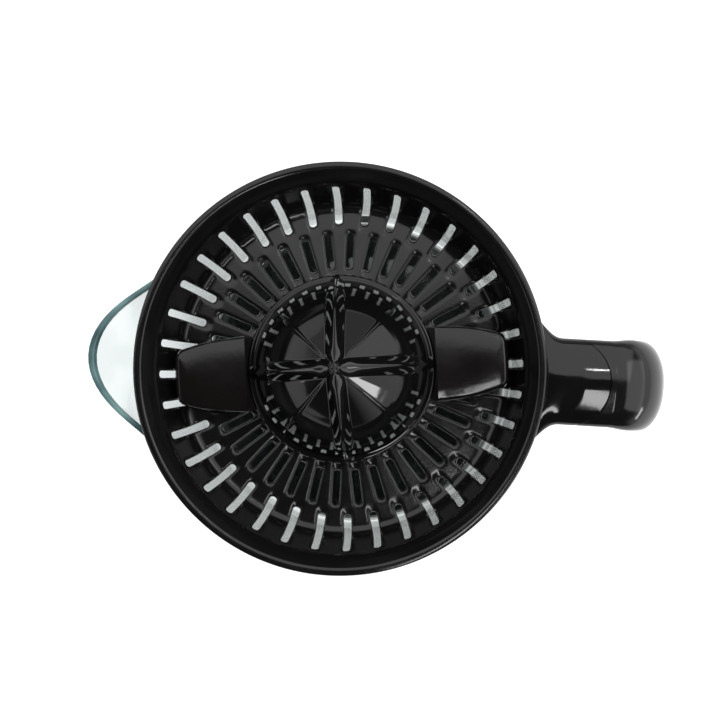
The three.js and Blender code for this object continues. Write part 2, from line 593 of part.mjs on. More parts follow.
// Plan outline of a stirrer wing along +X, wide at its root and round-cornered at its end.
function wingOutline(start, end, rootHalf, endHalf) {
  const shape = new THREE.Shape();
  const corner = 6;
  shape.moveTo(start, -rootHalf);
  shape.quadraticCurveTo((start + end) / 2, -(rootHalf + endHalf) / 2 - 0.8, end - corner, -endHalf);
  shape.quadraticCurveTo(end - 1, -endHalf + 1, end, 0);
  shape.quadraticCurveTo(end - 1, endHalf - 1, end - corner, endHalf);
  shape.quadraticCurveTo((start + end) / 2, (rootHalf + endHalf) / 2 + 0.8, start, rootHalf);
  return shape;
}

function smallCone() {
  const body = cone([
    [0, WING_LOW_Z], [36, WING_LOW_Z], [36, CONE_FOOT_Z - GAP], [28.4, CONE_FOOT_Z - GAP], [24.6, 175],
    [19.8, 182], [14.8, 190], [8.6, 198], [0, 203],
  ], 32);
  const hollow = ring([[9.5, 160], [25.5, 160], [25.5, 167], [21.5, 174], [14, 181], [9.5, 183]], 24);
  const wings = [0, 180].flatMap((turn) => [
    prism(wingOutline(30, WING_REACH - 1.5, 15.5, 11), WING_LOW_Z, CONE_FOOT_Z - GAP, 6).rotateZ(deg(turn)),
    prism(wingOutline(CONE_FOOT_R + 1.4, WING_REACH, 14, 9.5), CONE_FOOT_Z - 1, 170.8, 6).rotateZ(deg(turn)),
  ]);
  return cut(joined(body, ...wings), hollow, hexRod(HEAD_HEX_R + 0.4, 150, 188));
}

add('small_cone', smallCone(), SMOKE).rotation.z = deg(CONE_TURN);
add('large_cone', largeCone(), SMOKE).rotation.z = deg(CONE_TURN);

export default group;
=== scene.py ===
import math

import bmesh
import bpy
import numpy as np
from mathutils import Matrix, Vector


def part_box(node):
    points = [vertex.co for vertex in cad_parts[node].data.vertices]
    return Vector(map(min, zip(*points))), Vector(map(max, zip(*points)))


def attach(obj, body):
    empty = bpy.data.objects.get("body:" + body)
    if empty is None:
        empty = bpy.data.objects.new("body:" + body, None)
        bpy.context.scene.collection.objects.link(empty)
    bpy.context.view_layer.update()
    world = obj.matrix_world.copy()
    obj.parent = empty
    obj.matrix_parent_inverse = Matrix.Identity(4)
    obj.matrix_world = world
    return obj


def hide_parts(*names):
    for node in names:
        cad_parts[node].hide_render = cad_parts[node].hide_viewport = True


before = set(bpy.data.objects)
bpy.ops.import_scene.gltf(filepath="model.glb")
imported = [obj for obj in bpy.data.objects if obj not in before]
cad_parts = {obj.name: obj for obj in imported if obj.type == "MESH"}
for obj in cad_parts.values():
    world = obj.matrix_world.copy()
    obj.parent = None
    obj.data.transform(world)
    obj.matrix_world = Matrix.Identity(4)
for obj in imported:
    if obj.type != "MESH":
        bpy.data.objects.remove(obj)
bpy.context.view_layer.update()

MM = 0.001  # profiles below are in millimetres
_, SIEVE_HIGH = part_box("sieve")
JUG_LOW, JUG_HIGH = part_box("jug")
_, BASE_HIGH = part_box("base_housing")
CONE_LOW, CONE_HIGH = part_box("large_cone")
_, GRIP_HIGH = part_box("handle_grip")
RIM_Z = SIEVE_HIGH[2] / MM
JUG_TOP_Z = JUG_HIGH[2] / MM
JUG_LOW_Z = JUG_LOW[2] / MM
CONE_FOOT_Z = CONE_LOW[2] / MM
CONE_TOP_Z = CONE_HIGH[2] / MM
CONE_TURN = math.radians(6.4)


# ---- mesh helpers ----

def smoothstep(a, b, x):
    t = np.clip((np.asarray(x, float) - a) / (b - a), 0, 1)
    return t * t * (3 - 2 * t)


def filleted(points, steps=6):
    """A closed profile of (r, z, fillet) points with its corners rounded."""
    out = []
    for i, (x, y, fillet) in enumerate(points):
        p = Vector((x, y))
        u = Vector(points[i - 1][:2]) - p
        v = Vector(points[(i + 1) % len(points)][:2]) - p
        half = u.angle(v) / 2
        if fillet == 0 or half > math.radians(89.5):
            out.append((x, y))
            continue
        back = min(fillet / math.tan(half), u.length * 0.49, v.length * 0.49)
        radius = back * math.tan(half)
        u.normalize()
        v.normalize()
        centre = p + (u + v).normalized() * (radius / math.sin(half))
        start, end = p + u * back - centre, p + v * back - centre
        a0 = math.atan2(start.y, start.x)
        sweep = (math.atan2(end.y, end.x) - a0 + math.pi) % (2 * math.pi) - math.pi
        for k in range(steps + 1):
            a = a0 + sweep * k / steps
            out.append((centre.x + radius * math.cos(a), centre.y + radius * math.sin(a)))
    return out


def spread(points, longest):
    """Adds points along a closed profile so that no step is longer than `longest`."""
    out = []
    for i, (x, y) in enumerate(points):
        nx, ny = points[(i + 1) % len(points)]
        n = max(1, math.ceil(math.hypot(nx - x, ny - y) / longest))
        out += [(x + (nx - x) * k / n, y + (ny - y) * k / n) for k in range(n)]
    return out


def grid(rows, cols, wrap_rows=False, wrap_cols=False, skip=lambda i, j: False):
    """Faces of a grid of rows x cols vertices."""
    faces = []
    for i in range(rows if wrap_rows else rows - 1):
        for j in range(cols if wrap_cols else cols - 1):
            if not skip(i, j):
                a, b = i * cols + j, i * cols + (j + 1) % cols
                c, d = ((i + 1) % rows) * cols + (j + 1) % cols, ((i + 1) % rows) * cols + j
                faces.append((a, b, c, d))
    return faces


def mesh(name, verts, faces, outward=True, sharp=35):
    """A new object from vertices in millimetres."""
    data = bpy.data.meshes.new(name)
    data.from_pydata((np.asarray(verts, float) * MM).tolist(), [], faces)
    bm = bmesh.new()
    bm.from_mesh(data)
    bmesh.ops.remove_doubles(bm, verts=bm.verts, dist=0.005 * MM)
    if outward:
        bmesh.ops.recalc_face_normals(bm, faces=bm.faces)
    bm.to_mesh(data)
    bm.free()
    data.shade_smooth()
    if sharp:
        data.set_sharp_from_angle(angle=math.radians(sharp))
    obj = bpy.data.objects.new(name, data)
    bpy.context.scene.collection.objects.link(obj)
    return obj


def lathe(name, profile, segments, bend=None, sharp=35):
    """A closed profile turned round Z. `bend` may move the vertices."""
    angles = np.linspace(0, 2 * np.pi, segments, endpoint=False)
    r, z = np.array(profile).T
    verts = np.stack([np.outer(r, np.cos(angles)), np.outer(r, np.sin(angles)),
                      np.repeat(z[:, None], segments, 1)], -1).reshape(-1, 3)
    if bend:
        verts = bend(verts)
    return mesh(name, verts, grid(len(profile), segments, True, True), sharp=sharp)


def settle(obj):
    """Turns an object's modifiers into its mesh."""
    bpy.context.view_layer.update()
    data = bpy.data.meshes.new_from_object(obj.evaluated_get(bpy.context.evaluated_depsgraph_get()))
    obj.modifiers.clear()
    obj.data = data
    return obj


def merge(name, *objects):
    """One object from several, in the first one's place."""
    bm = bmesh.new()
    for o in objects:
        bm.from_mesh(o.data)
        bpy.data.objects.remove(o)
    data = bpy.data.meshes.new(name)
    bm.to_mesh(data)
    bm.free()
    data.shade_smooth()
    data.set_sharp_from_angle(angle=math.radians(35))
    obj = bpy.data.objects.new(name, data)
    bpy.context.scene.collection.objects.link(obj)
    return obj


def place(obj, material, body, slot, *nodes):
    """Gives a piece its material, the body that carries it and the CAD nodes it stands for."""
    obj.data.materials.clear()
    obj.data.materials.append(material)
    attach(obj, body)
    if nodes:
        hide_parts(*nodes)
    return obj


# ---- materials ----

class Nodes:
    """A material's node tree, with short names for what is used here."""

    def __init__(self, name):
        self.material = bpy.data.materials.new(name)
        self.material.use_nodes = True
        self.tree = self.material.node_tree
        self.bsdf = self.tree.nodes["Principled BSDF"]
        self.coords = self.add("ShaderNodeTexCoord").outputs["Object"]

    def add(self, kind, **values):
        node = self.tree.nodes.new(kind)
        for key, value in values.items():
            if key in node.inputs:
                node.inputs[key].default_value = value
            else:
                setattr(node, key, value)
        return node

    def link(self, a, b):
        self.tree.links.new(a, b)

    def stretched(self, scale):
        mapping = self.add("ShaderNodeMapping")
        mapping.inputs["Scale"].default_value = scale
        self.link(self.coords, mapping.inputs["Vector"])
        return mapping.outputs["Vector"]

    def noise(self, scale, detail=3.0, vector=None):
        node = self.add("ShaderNodeTexNoise", Scale=scale, Detail=detail)
        self.link(vector or self.coords, node.inputs["Vector"])
        return node.outputs["Fac"]

    def ramp(self, value, low, high, start=0.35, end=0.65):
        limits = {"From Min": start, "From Max": end, "To Min": low, "To Max": high}
        node = self.add("ShaderNodeMapRange", **limits)
        self.link(value, node.inputs["Value"])
        return node.outputs["Result"]

    def colours(self, value, low, high):
        node = self.add("ShaderNodeValToRGB")
        node.color_ramp.elements[0].position = 0.35
        node.color_ramp.elements[1].position = 0.65
        node.color_ramp.elements[0].color = (*low, 1)
        node.color_ramp.elements[1].color = (*high, 1)
        self.link(value, node.inputs["Fac"])
        return node.outputs["Color"]

    def bump(self, value, height, strength=1.0):
        node = self.add("ShaderNodeBump", Strength=strength, Distance=height)
        self.link(value, node.inputs["Height"])
        return node.outputs["Normal"]


def plastic(name, colour, roughness, spread_rough=0.03, grain=900, height=0.00001, mottle=0.15):
    """Moulded plastic: faint mottling, uneven polish and a fine moulded grain."""
    n = Nodes(name)
    low = tuple(c * (1 - mottle) for c in colour)
    high = tuple(c * (1 + mottle) for c in colour)
    n.link(n.colours(n.noise(45), low, high), n.bsdf.inputs["Base Color"])
    polish = n.ramp(n.noise(70, 5), roughness - spread_rough, roughness + spread_rough)
    n.link(polish, n.bsdf.inputs["Roughness"])
    n.link(n.bump(n.noise(grain, 2), height), n.bsdf.inputs["Normal"])
    n.bsdf.inputs["IOR"].default_value = 1.5
    return n.material


def metal(name, colour, roughness, stretch=(1, 1, 30), scale=160):
    """Turned or drawn metal: fine streaks in its polish and its colour."""
    n = Nodes(name)
    streaks = n.noise(scale, 4, n.stretched(stretch))
    n.link(n.colours(streaks, tuple(c * 0.82 for c in colour), colour), n.bsdf.inputs["Base Color"])
    n.link(n.ramp(streaks, roughness + 0.12, roughness), n.bsdf.inputs["Roughness"])
    n.link(n.bump(streaks, 0.00002), n.bsdf.inputs["Normal"])
    n.bsdf.inputs["Metallic"].default_value = 1
    return n.material


def winding(name):
    """Enamelled wire laid side by side round the coil."""
    n = Nodes(name)
    wave = n.add("ShaderNodeTexWave", Scale=620, Distortion=0.6)
    wave.bands_direction = "X"
    n.link(n.coords, wave.inputs["Vector"])
    shade = n.colours(wave.outputs["Fac"], (0.22, 0.07, 0.03), (0.68, 0.30, 0.14))
    n.link(shade, n.bsdf.inputs["Base Color"])
    n.link(n.bump(wave.outputs["Fac"], 0.0002), n.bsdf.inputs["Normal"])
    n.bsdf.inputs["Metallic"].default_value = 0.85
    n.bsdf.inputs["Roughness"].default_value = 0.3
    return n.material


def laminated(name):
    """Stacked steel sheets, seen as fine lines across the stack."""
    n = Nodes(name)
    wave = n.add("ShaderNodeTexWave", Scale=300, Distortion=0.2)
    wave.bands_direction = "Z"
    n.link(n.coords, wave.inputs["Vector"])
    shade = n.colours(wave.outputs["Fac"], (0.12, 0.12, 0.13), (0.42, 0.43, 0.44))
    n.link(shade, n.bsdf.inputs["Base Color"])
    n.link(n.bump(wave.outputs["Fac"], 0.0001), n.bsdf.inputs["Normal"])
    n.bsdf.inputs["Metallic"].default_value = 0.9
    n.bsdf.inputs["Roughness"].default_value = 0.45
    return n.material


def clear(name, tint, shine_rough):
    """Clear plastic: what is behind it, tinted, under a mirror that grows at grazing angles."""
    n = Nodes(name)
    n.tree.nodes.remove(n.bsdf)
    through = n.add("ShaderNodeBsdfTransparent")
    n.link(n.colours(n.noise(30), tuple(c * 0.985 for c in tint), tint), through.inputs["Color"])
    gloss = n.add("ShaderNodeBsdfGlossy")
    n.link(n.ramp(n.noise(60, 4), shine_rough, shine_rough + 0.03), gloss.inputs["Roughness"])
    facing = n.add("ShaderNodeLayerWeight", Blend=0.5)
    steep = n.add("ShaderNodeMath", operation="POWER")
    steep.inputs[1].default_value = 5
    n.link(facing.outputs["Facing"], steep.inputs[0])
    mix = n.add("ShaderNodeMixShader")
    n.link(n.ramp(steep.outputs["Value"], 0.04, 1.0, 0, 1), mix.inputs["Fac"])
    n.link(through.outputs["BSDF"], mix.inputs[1])
    n.link(gloss.outputs["BSDF"], mix.inputs[2])
    n.link(mix.outputs["Shader"], n.tree.nodes["Material Output"].inputs["Surface"])
    return n.material


def lip_teal(name):
    """The edge of the clear wall, where light carried along the wall comes out green-blue."""
    n = Nodes(name)
    n.link(n.colours(n.noise(55, 2), (0.055, 0.115, 0.125), (0.20, 0.36, 0.36)), n.bsdf.inputs["Base Color"])
    n.link(n.ramp(n.noise(90), 0.08, 0.2), n.bsdf.inputs["Roughness"])
    n.link(n.bump(n.noise(300), 0.00003), n.bsdf.inputs["Normal"])
    return n.material


GLOSS_BLACK = plastic("gloss_black", (0.006, 0.0056, 0.0058), 0.07, 0.02, 500, 0.000006)
SIEVE_BLACK = plastic("sieve_black", (0.006, 0.0055, 0.0055), 0.14, 0.03, 800, 0.00001)
CONE_BLACK = plastic("cone_black", (0.005, 0.0048, 0.005), 0.05, 0.015, 400, 0.000004)
WING_BLACK = plastic("wing_black", (0.007, 0.0055, 0.0055), 0.12, 0.03, 600, 0.00001)
BASE_BLACK = plastic("base_black", (0.007, 0.007, 0.0075), 0.22, 0.04, 1200, 0.00002)
GRIP_BLACK = plastic("grip_black", (0.007, 0.0066, 0.0068), 0.13, 0.03, 900, 0.00001)
RUBBER = plastic("rubber", (0.016, 0.016, 0.016), 0.75, 0.08, 1500, 0.00006)
ACETAL = plastic("acetal", (0.74, 0.71, 0.63), 0.42, 0.05, 700, 0.00003, 0.04)
GREY = plastic("grey_plastic", (0.115, 0.12, 0.125), 0.5, 0.06, 900, 0.00004)
SWITCH = plastic("switch_plastic", (0.02, 0.022, 0.024), 0.45, 0.06, 900, 0.00004)
STEEL = metal("steel", (0.56, 0.57, 0.58), 0.24)
TURNED = metal("turned_steel", (0.60, 0.60, 0.61), 0.2, (1, 1, 0.02), 900)
BRASS = metal("brass", (0.72, 0.50, 0.22), 0.25, (1, 1, 0.05), 700)
LAMINATED = laminated("laminations")
WINDING = winding("winding")
CLEAR = clear("clear_wall", (0.905, 0.935, 0.932), 0.02)
LIP = lip_teal("clear_lip")


def dress_cad():
    """Procedural materials for the CAD nodes that keep their own mesh."""
    looks = {
        "base_plate": BASE_BLACK, "cord_gland": RUBBER, "spindle_seal": RUBBER, "gear_plate": GREY,
        "motor_core": LAMINATED, "motor_coil": WINDING, "motor_bracket": STEEL, "rotor": TURNED,
        "first_gear": ACETAL, "second_gear": ACETAL, "output_gear": ACETAL, "terminal_block": ACETAL,
        "drive_spindle": TURNED, "return_spring": STEEL, "switch_body": SWITCH, "switch_lever": STEEL,
        "first_axle": TURNED, "second_axle": TURNED, "thrust_washer": BRASS, "lower_bush": BRASS,
        "upper_bush": BRASS, "motor_bush_upper": BRASS, "motor_bush_lower": BRASS,
    }
    for name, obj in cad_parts.items():
        look = looks.get(name)
        if look is None and "screw" in name:
            look = STEEL
        if look is None and (name.startswith("foot") or name.startswith("lead")):
            look = RUBBER
        for s in obj.material_slots:
            s.material = look or BASE_BLACK


dress_cad()

# ---- sieve ----

SECTORS = 36
SLOT_HALF = 1.25
SLOT_MARGIN = 1.0
SLOT_END_DROP = 1.2  # rounds the slot end that climbs the wall
SLOT_SINK = 0.25  # the floor dips this much round each slot
INNER_SLOT = (39.7, 53.7)
OUTER_SLOT_IN = 57.4
OUTER_SLOT_OUT_Z = 174.4
FLOOR_OUT = (64.0, 159.3)
FLOOR_FALL = math.tan(math.radians(1.5))
WALL_LOW = (66.5, 161.8)
WALL_HIGH = (72.6, 180.4)
SHELL = 2.0


def floor_z(r):
    return FLOOR_OUT[1] + (FLOOR_OUT[0] - r) * FLOOR_FALL


def wall_at(z):
    t = (z - WALL_LOW[1]) / (WALL_HIGH[1] - WALL_LOW[1])
    return (WALL_LOW[0] + (WALL_HIGH[0] - WALL_LOW[0]) * t, z)


def sieve_rings():
    """(r, z, how far the columns have gone over to the outer slots) from the middle out."""
    def flat(r, share):
        return (r, floor_z(r), share)

    def wall(z):
        return (*wall_at(z), 1)

    hole = [(20.7, 160.4, 0), (20.7, 162.4, 0), (21.5, 163.0, 0), (22.6, 162.6, 0),
            (24.2, 161.0, 0), flat(27, 0)]
    inner = [flat(r, 0) for r in (33, 38.3, 39.7, 41.3, 46.7, 52.1, 53.7)]
    between = [flat(54.9, 0.15), flat(56.2, 0.85)]
    outer = [flat(r, 1) for r in (57.4, 59.0, 61.6)]
    corner = [(*FLOOR_OUT, 1), (*WALL_LOW, 1)]
    side = [wall(z) for z in (166.5, 171.2, 174.4, 176.0, 177.2)]
    rim = [(*WALL_HIGH, 1), (76.3, 184.0, 1), (76.8, 184.7, 1), (77.3, 185, 1), (79.2, 185, 1),
           (79.8, 184.8, 1), (80, 184.2, 1), (80, 181.6, 1)]
    return hole + inner + between + outer + corner + side + rim


def sieve_columns(r, share):
    """The angles, in degrees, of the ten columns of one sector at radius r."""
    r = max(r, INNER_SLOT[0] - 1.4)
    sector = 360 / SECTORS
    half = math.degrees(math.asin(SLOT_HALF / r))
    edge = half + math.degrees(SLOT_MARGIN / r)
    free = sector / 2 - edge
    at_inner = [0, half, edge, edge + free / 3, edge + 2 * free / 3, sector / 2]
    at_outer = [0, free / 3, 2 * free / 3, free, sector / 2 - half, sector / 2]
    mixed = [a + (b - a) * share for a, b in zip(at_inner, at_outer)]
    return mixed + [sector - a for a in mixed[4:0:-1]]


def sieve():
    rings = sieve_rings()
    radii = [r for r, _, _ in rings]
    first_in = radii.index(INNER_SLOT[0])
    last_in = radii.index(INNER_SLOT[1])
    first_out = radii.index(OUTER_SLOT_IN)
    last_out = next(i for i, (_, z, _) in enumerate(rings) if i > first_out and z == OUTER_SLOT_OUT_Z)
    per = 10
    cols = SECTORS * per
    verts = []
    for i, (r, z, share) in enumerate(rings):
        for s in range(SECTORS):
            for c, a in enumerate(sieve_columns(r, share)):
                # a slot's corners are drawn in along it, so that subdivision leaves a round end
                pull = 0.0
                sunk = 0.0
                by_inner = first_in - 1 <= i <= last_in and c in (0, 1, 9)
                by_outer = first_out - 1 <= i <= first_out + 2 and c in (4, 5, 6)
                if by_inner or by_outer:
                    sunk = SLOT_SINK
                if c in (1, 9) and i in (first_in, last_in):
                    pull = 0.75 if i == first_in else -0.75
                if c in (4, 6) and i == first_out:
                    pull = 0.75
                if c in (4, 6) and i == last_out:
                    sunk = SLOT_END_DROP
                angle = math.radians(a + s * 360 / SECTORS)
                verts.append(((r + pull) * math.cos(angle), (r + pull) * math.sin(angle), z - sunk))

    def slot(i, j):
        c = j % per
        in_inner = first_in <= i < last_in and c in (0, per - 1)
        in_outer = first_out <= i < last_out and c in (4, 5)
        return in_inner or in_outer

    obj = mesh("sieve_fine", verts, grid(len(rings), cols, False, True, slot), sharp=0)
    if obj.data.polygons[0].normal.z < 0 or sum(p.normal.z * p.area for p in obj.data.polygons) < 0:
        obj.data.flip_normals()
    shell = obj.modifiers.new("shell", "SOLIDIFY")
    shell.thickness = SHELL * MM
    shell.offset = -1
    smooth = obj.modifiers.new("smooth", "SUBSURF")
    smooth.levels = smooth.render_levels = 1
    settle(obj)
    obj.data.shade_smooth()
    return place(obj, SIEVE_BLACK, "sieve", "smoke_plastic", "sieve")


sieve()

# ---- cones ----

RIB_HALF = 3.8  # half a major rib where it meets the facets
RIB_END_HALF = 2.2
CREST_ROUND = 0.1  # how far the crest is rounded over, as a share of the half width
MINOR_HALF = 0.5
MINOR_HEIGHT = 0.55
# how far below the apex the crest of a rib, and a lobe, lie at each distance from the axis
CREST = [(0, 0), (1.6, 0.1), (2.0, 0.7), (4, 2.8), (8, 6.0), (12, 9.6), (16, 13.3), (20, 17.2), (24.5, 21.9),
         (29, 27.4), (32, 32.3), (34, 36.8), (35.6, 41), (36.4, 41.8), (37, 42.4)]
LOBE = [(0, 1.9), (4, 5.4), (8, 9.0), (12, 12.7), (16, 16.45), (20, 20.3), (24.5, 24.8), (29.5, 30.8),
        (31, 33.1), (32.5, 36.0), (34, 39.8), (35, 43), (40, 60)]
FLATNESS = 0.3  # of the facets between two ribs, near the top
FOOT_DROP = 41.6
FOOT_SOFT = 0.25


def smooth_profile(points, at):
    """A smooth curve through profile points, by cubic pieces."""
    x, y = np.array(points, float).T
    slope = np.gradient(y, x)
    i = np.clip(np.searchsorted(x, at) - 1, 0, len(x) - 2)
    h = x[i + 1] - x[i]
    t = np.clip((at - x[i]) / h, 0, 1)
    return ((2 * t ** 3 - 3 * t ** 2 + 1) * y[i] + (t ** 3 - 2 * t ** 2 + t) * h * slope[i]
            + (3 * t ** 2 - 2 * t ** 3) * y[i + 1] + (t ** 3 - t ** 2) * h * slope[i + 1])


def ribbed_height(r, angle, scale, drop_scale):
    """How far below its apex a ribbed cone lies: lobes between four major ribs, each with a minor rib."""
    at = np.asarray(r, float) / scale
    quarter = np.pi / 2
    off = np.abs((angle + quarter / 2) % quarter - quarter / 2)  # 0 on a major rib, 45 degrees on a minor one
    flat = 1 / np.cos(np.abs(off - quarter / 4)) - 1 / math.cos(quarter / 4)
    lobe = smooth_profile(LOBE, at * (1 - FLATNESS * flat * (1 - smoothstep(22, 32, at))))
    minor = at * np.sin(quarter / 2 - off) / (MINOR_HALF * (0.5 + at / 30))
    lobe = lobe - MINOR_HEIGHT * smoothstep(2, 12, at) * np.exp(-minor ** 2)
    lobe = -FOOT_SOFT * np.logaddexp(-lobe / FOOT_SOFT, -FOOT_DROP / FOOT_SOFT)
    crest = smooth_profile(CREST, at)
    half = RIB_HALF + (RIB_END_HALF - RIB_HALF) * smoothstep(26, 36, at)
    across = np.hypot(at * np.sin(off) / half, CREST_ROUND)
    bar = np.clip((1 - across) / (1 - CREST_ROUND), 0, 1)
    lobe = np.where(at > 36, np.maximum(lobe, crest), lobe)
    return (lobe + (np.minimum(crest, lobe) - lobe) * bar) * drop_scale


def cone_mesh(name, top_z, foot_z, foot_r, inner, cols=360, rows=96):
    """A hollow ribbed cone: its outside by height, its inside turned from `inner`."""
    radii = np.concatenate([np.linspace(0.15, 3.2, 10), np.linspace(3.6, foot_r, rows - 10)])
    angles = np.linspace(0, 2 * np.pi, cols, endpoint=False)
    rr, aa = np.meshgrid(radii, angles, indexing="ij")
    z = top_z - ribbed_height(rr, aa, foot_r / 37, (top_z - foot_z - 0.6) / 42.4)
    outer = np.stack([rr * np.cos(aa), rr * np.sin(aa), z], -1).reshape(-1, 3)
    profile = [(foot_r, foot_z + 0.35), (foot_r - 0.35, foot_z)] + inner
    inside = [(r * math.cos(a), r * math.sin(a), h) for r, h in profile for a in angles]
    verts = np.concatenate([outer, np.array(inside), [[0, 0, top_z], [0, 0, profile[-1][1]]]])
    total = len(radii) + len(profile)
    faces = grid(total, cols, False, True)
    faces += [(j, (j + 1) % cols, total * cols) for j in range(cols)]
    last = (total - 1) * cols
    faces += [(last + j, last + (j + 1) % cols, total * cols + 1) for j in range(cols)]
    obj = mesh(name, verts, faces, sharp=50)
    obj.data.transform(Matrix.Rotation(CONE_TURN, 4, "Z"))
    return obj


def large_cone():
    inner = [(34.8, CONE_FOOT_Z), (34.8, CONE_FOOT_Z + 1), (30, 171), (26, 175), (21.4, 182), (16.8, 190),
             (10.8, 198), (5, 203), (0.5, 205)]
    obj = cone_mesh("large_cone_fine", CONE_TOP_Z, CONE_FOOT_Z, 37, inner)
    place(obj, CONE_BLACK, "large_cone", "smoke_plastic", "large_cone")


WING_LOW_Z = 164.6
WING_TOP_Z = 171.2
WING_EDGE = 2.0  # radius round the wing's top
WING_ROOT = 37.4


def inset(outline, by):
    """A convex outline moved inwards."""
    p = np.asarray(outline, float)
    along = np.roll(p, -1, 0) - np.roll(p, 1, 0)
    normal = np.stack([along[:, 1], -along[:, 0]], -1) / np.linalg.norm(along, axis=1)[:, None]
    return p - normal * by


def wing(turn):
    """One stirrer arm: a raised bar with rounded edges, standing outside the large cone's foot."""
    plan = spread(filleted([(WING_ROOT, -14.9, 0), (52, -13.8, 60), (65.2, -10.2, 4.6), (65.5, 0, 90),
                            (65.2, 10.2, 4.6), (52, 13.8, 60), (WING_ROOT, 14.9, 0)], 8), 2)
    at_root = np.array([x for x, _ in plan]) < WING_ROOT + 0.1
    rounding = [math.radians(a) for a in range(15, 91, 15)]
    layers = [(0.6, WING_LOW_Z), (0.0, WING_LOW_Z + 0.6), (0.0, WING_TOP_Z - WING_EDGE)]
    layers += [(WING_EDGE * (1 - math.cos(a)), WING_TOP_Z - WING_EDGE * (1 - math.sin(a))) for a in rounding]
    rows = [np.column_stack([inset(plan, by), np.full(len(plan), z)]) for by, z in layers]
    for row in rows:
        row[at_root, 0] = WING_ROOT
    top = rows[-1]
    heart = np.column_stack([np.clip(top[:, 0], 46, 60), np.zeros(len(plan)), top[:, 2]])
    heart[at_root, 0] = WING_ROOT
    for t in (0.25, 0.5, 0.75, 1.0):
        crowned = top + (heart - top) * t
        crowned[:, 2] += 0.3 * (1 - (1 - t) ** 2)
        rows.append(crowned)
    n = len(plan)
    body = mesh("wing", np.concatenate(rows), grid(len(rows), n, False, True) + [tuple(range(n))], sharp=60)
    root = spread(filleted([(28, -15.2, 1), (42, -13.6, 1), (42, 13.6, 1), (28, 15.2, 1)], 2), 4)
    slab = [(*p, z) for z in (WING_LOW_Z + 0.2, CONE_FOOT_Z - 0.4) for p in root]
    m = len(root)
    ends = [tuple(range(m)), tuple(2 * m - 1 - k for k in range(m))]
    arm = mesh("arm", slab, grid(2, m, False, True) + ends)
    obj = merge("wing", body, arm)
    obj.data.transform(Matrix.Rotation(CONE_TURN + turn, 4, "Z"))
    return obj


def small_cone():
    """The small cone with its carrier disc and the two stirrer arms."""
    inner = [(25.5, 168.6), (25.0, 169.5), (21.5, 174), (14, 181), (9.5, 183), (0.5, 183.4)]
    cone = cone_mesh("small", 203.0, 168.2, 27.6, inner, 192, 60)
    plate = filleted([(36, 164.5, 0.6), (36, 167.6, 0.8), (26, 168.6, 0.3), (25.5, 164.5, 0.4)])
    disc = lathe("disc", spread(plate, 3), 144)
    hub = lathe("hub", filleted([(5.7, 166, 0.3), (9.2, 166, 0.6), (9.2, 184, 0.3), (5.7, 184, 0.3)]), 48)
    obj = merge("small_cone_fine", cone, disc, hub, wing(0), wing(math.pi))
    place(obj, WING_BLACK, "small_cone", "smoke_plastic", "small_cone")


large_cone()
small_cone()

# ---- jug ----

WALL = 2.4
CHIMNEY_R = 16.7
JUG_FOOT_R = 66.0
JUG_TOP_R = 77.2
SPOUT_REACH = 21.3
SPOUT_HALF = math.radians(30)
SPOUT_LOW_Z = 112.0
LIP_DEEP = 1.4  # how far down the wall its edge colour shows


def pull_spout(verts):
    """Pushes the wall out into the pouring spout on -X."""
    x, y, z = verts.T
    r = np.hypot(x, y)
    off = np.abs(np.pi - np.abs(np.arctan2(y, x))) / SPOUT_HALF
    rise = np.clip((z - SPOUT_LOW_Z) / (JUG_TOP_Z - SPOUT_LOW_Z), 0, 1) ** 1.7
    shape = np.cos(np.minimum(off, 1) * np.pi / 2) ** 2
    push = np.where((off < 1) & (r > JUG_FOOT_R - 4), SPOUT_REACH * rise * shape, 0)
    grown = (r + push) / np.maximum(r, 1e-6)
    return np.stack([x * grown, y * grown, z], -1)


def jug():
    low = JUG_LOW_Z
    profile = spread(filleted([
        (CHIMNEY_R - 1.2, low, 0.6), (JUG_FOOT_R - 1, low, 5), (JUG_FOOT_R + 1.1, low + 7, 6),
        (JUG_TOP_R, JUG_TOP_Z - 2, 0), (JUG_TOP_R, JUG_TOP_Z, 0.7),
        (JUG_TOP_R - WALL, JUG_TOP_Z, 0.7), (JUG_TOP_R - WALL, JUG_TOP_Z - 2, 0),
        (JUG_FOOT_R - 1.3, low + 7, 6),
        (JUG_FOOT_R - 4, low + 2.6, 3), (CHIMNEY_R + 1.2, low + 2.6, 2.5), (CHIMNEY_R - 0.2, 148, 0.6),
        (CHIMNEY_R - 2.4, 148, 0.6),
    ]), 4)
    obj = lathe("jug_fine", profile, 192, pull_spout, sharp=60)
    place(obj, CLEAR, "jug", "clear_plastic", "jug")
    obj.data.materials.append(LIP)
    lip_z = (JUG_TOP_Z - LIP_DEEP) * MM
    for p in obj.data.polygons:
        if p.center.z > lip_z:
            p.material_index = 1


jug()

# ---- handle ----

HANDLE_HALF = 16.8
HANDLE_TOP_Z = GRIP_HIGH[2] / MM
ARM_LOW_Z = 166.0
ARM_X = 86.0  # from here out the handle keeps its width
ROOT_FLARE = 7.4
CROWN_R = 60.0
HOLLOW_R = 15.0  # a round shallow hollow where the arm leaves the collar
HOLLOW_DEPTH = 0.7
SEAM_X = 105.0
SEAM_R = 17.2
COLLAR = (77.5, 79.7, 169.0, 181.0)
COLLAR_OPEN = math.radians(34)
SEAM_HALF_GAP = 0.22
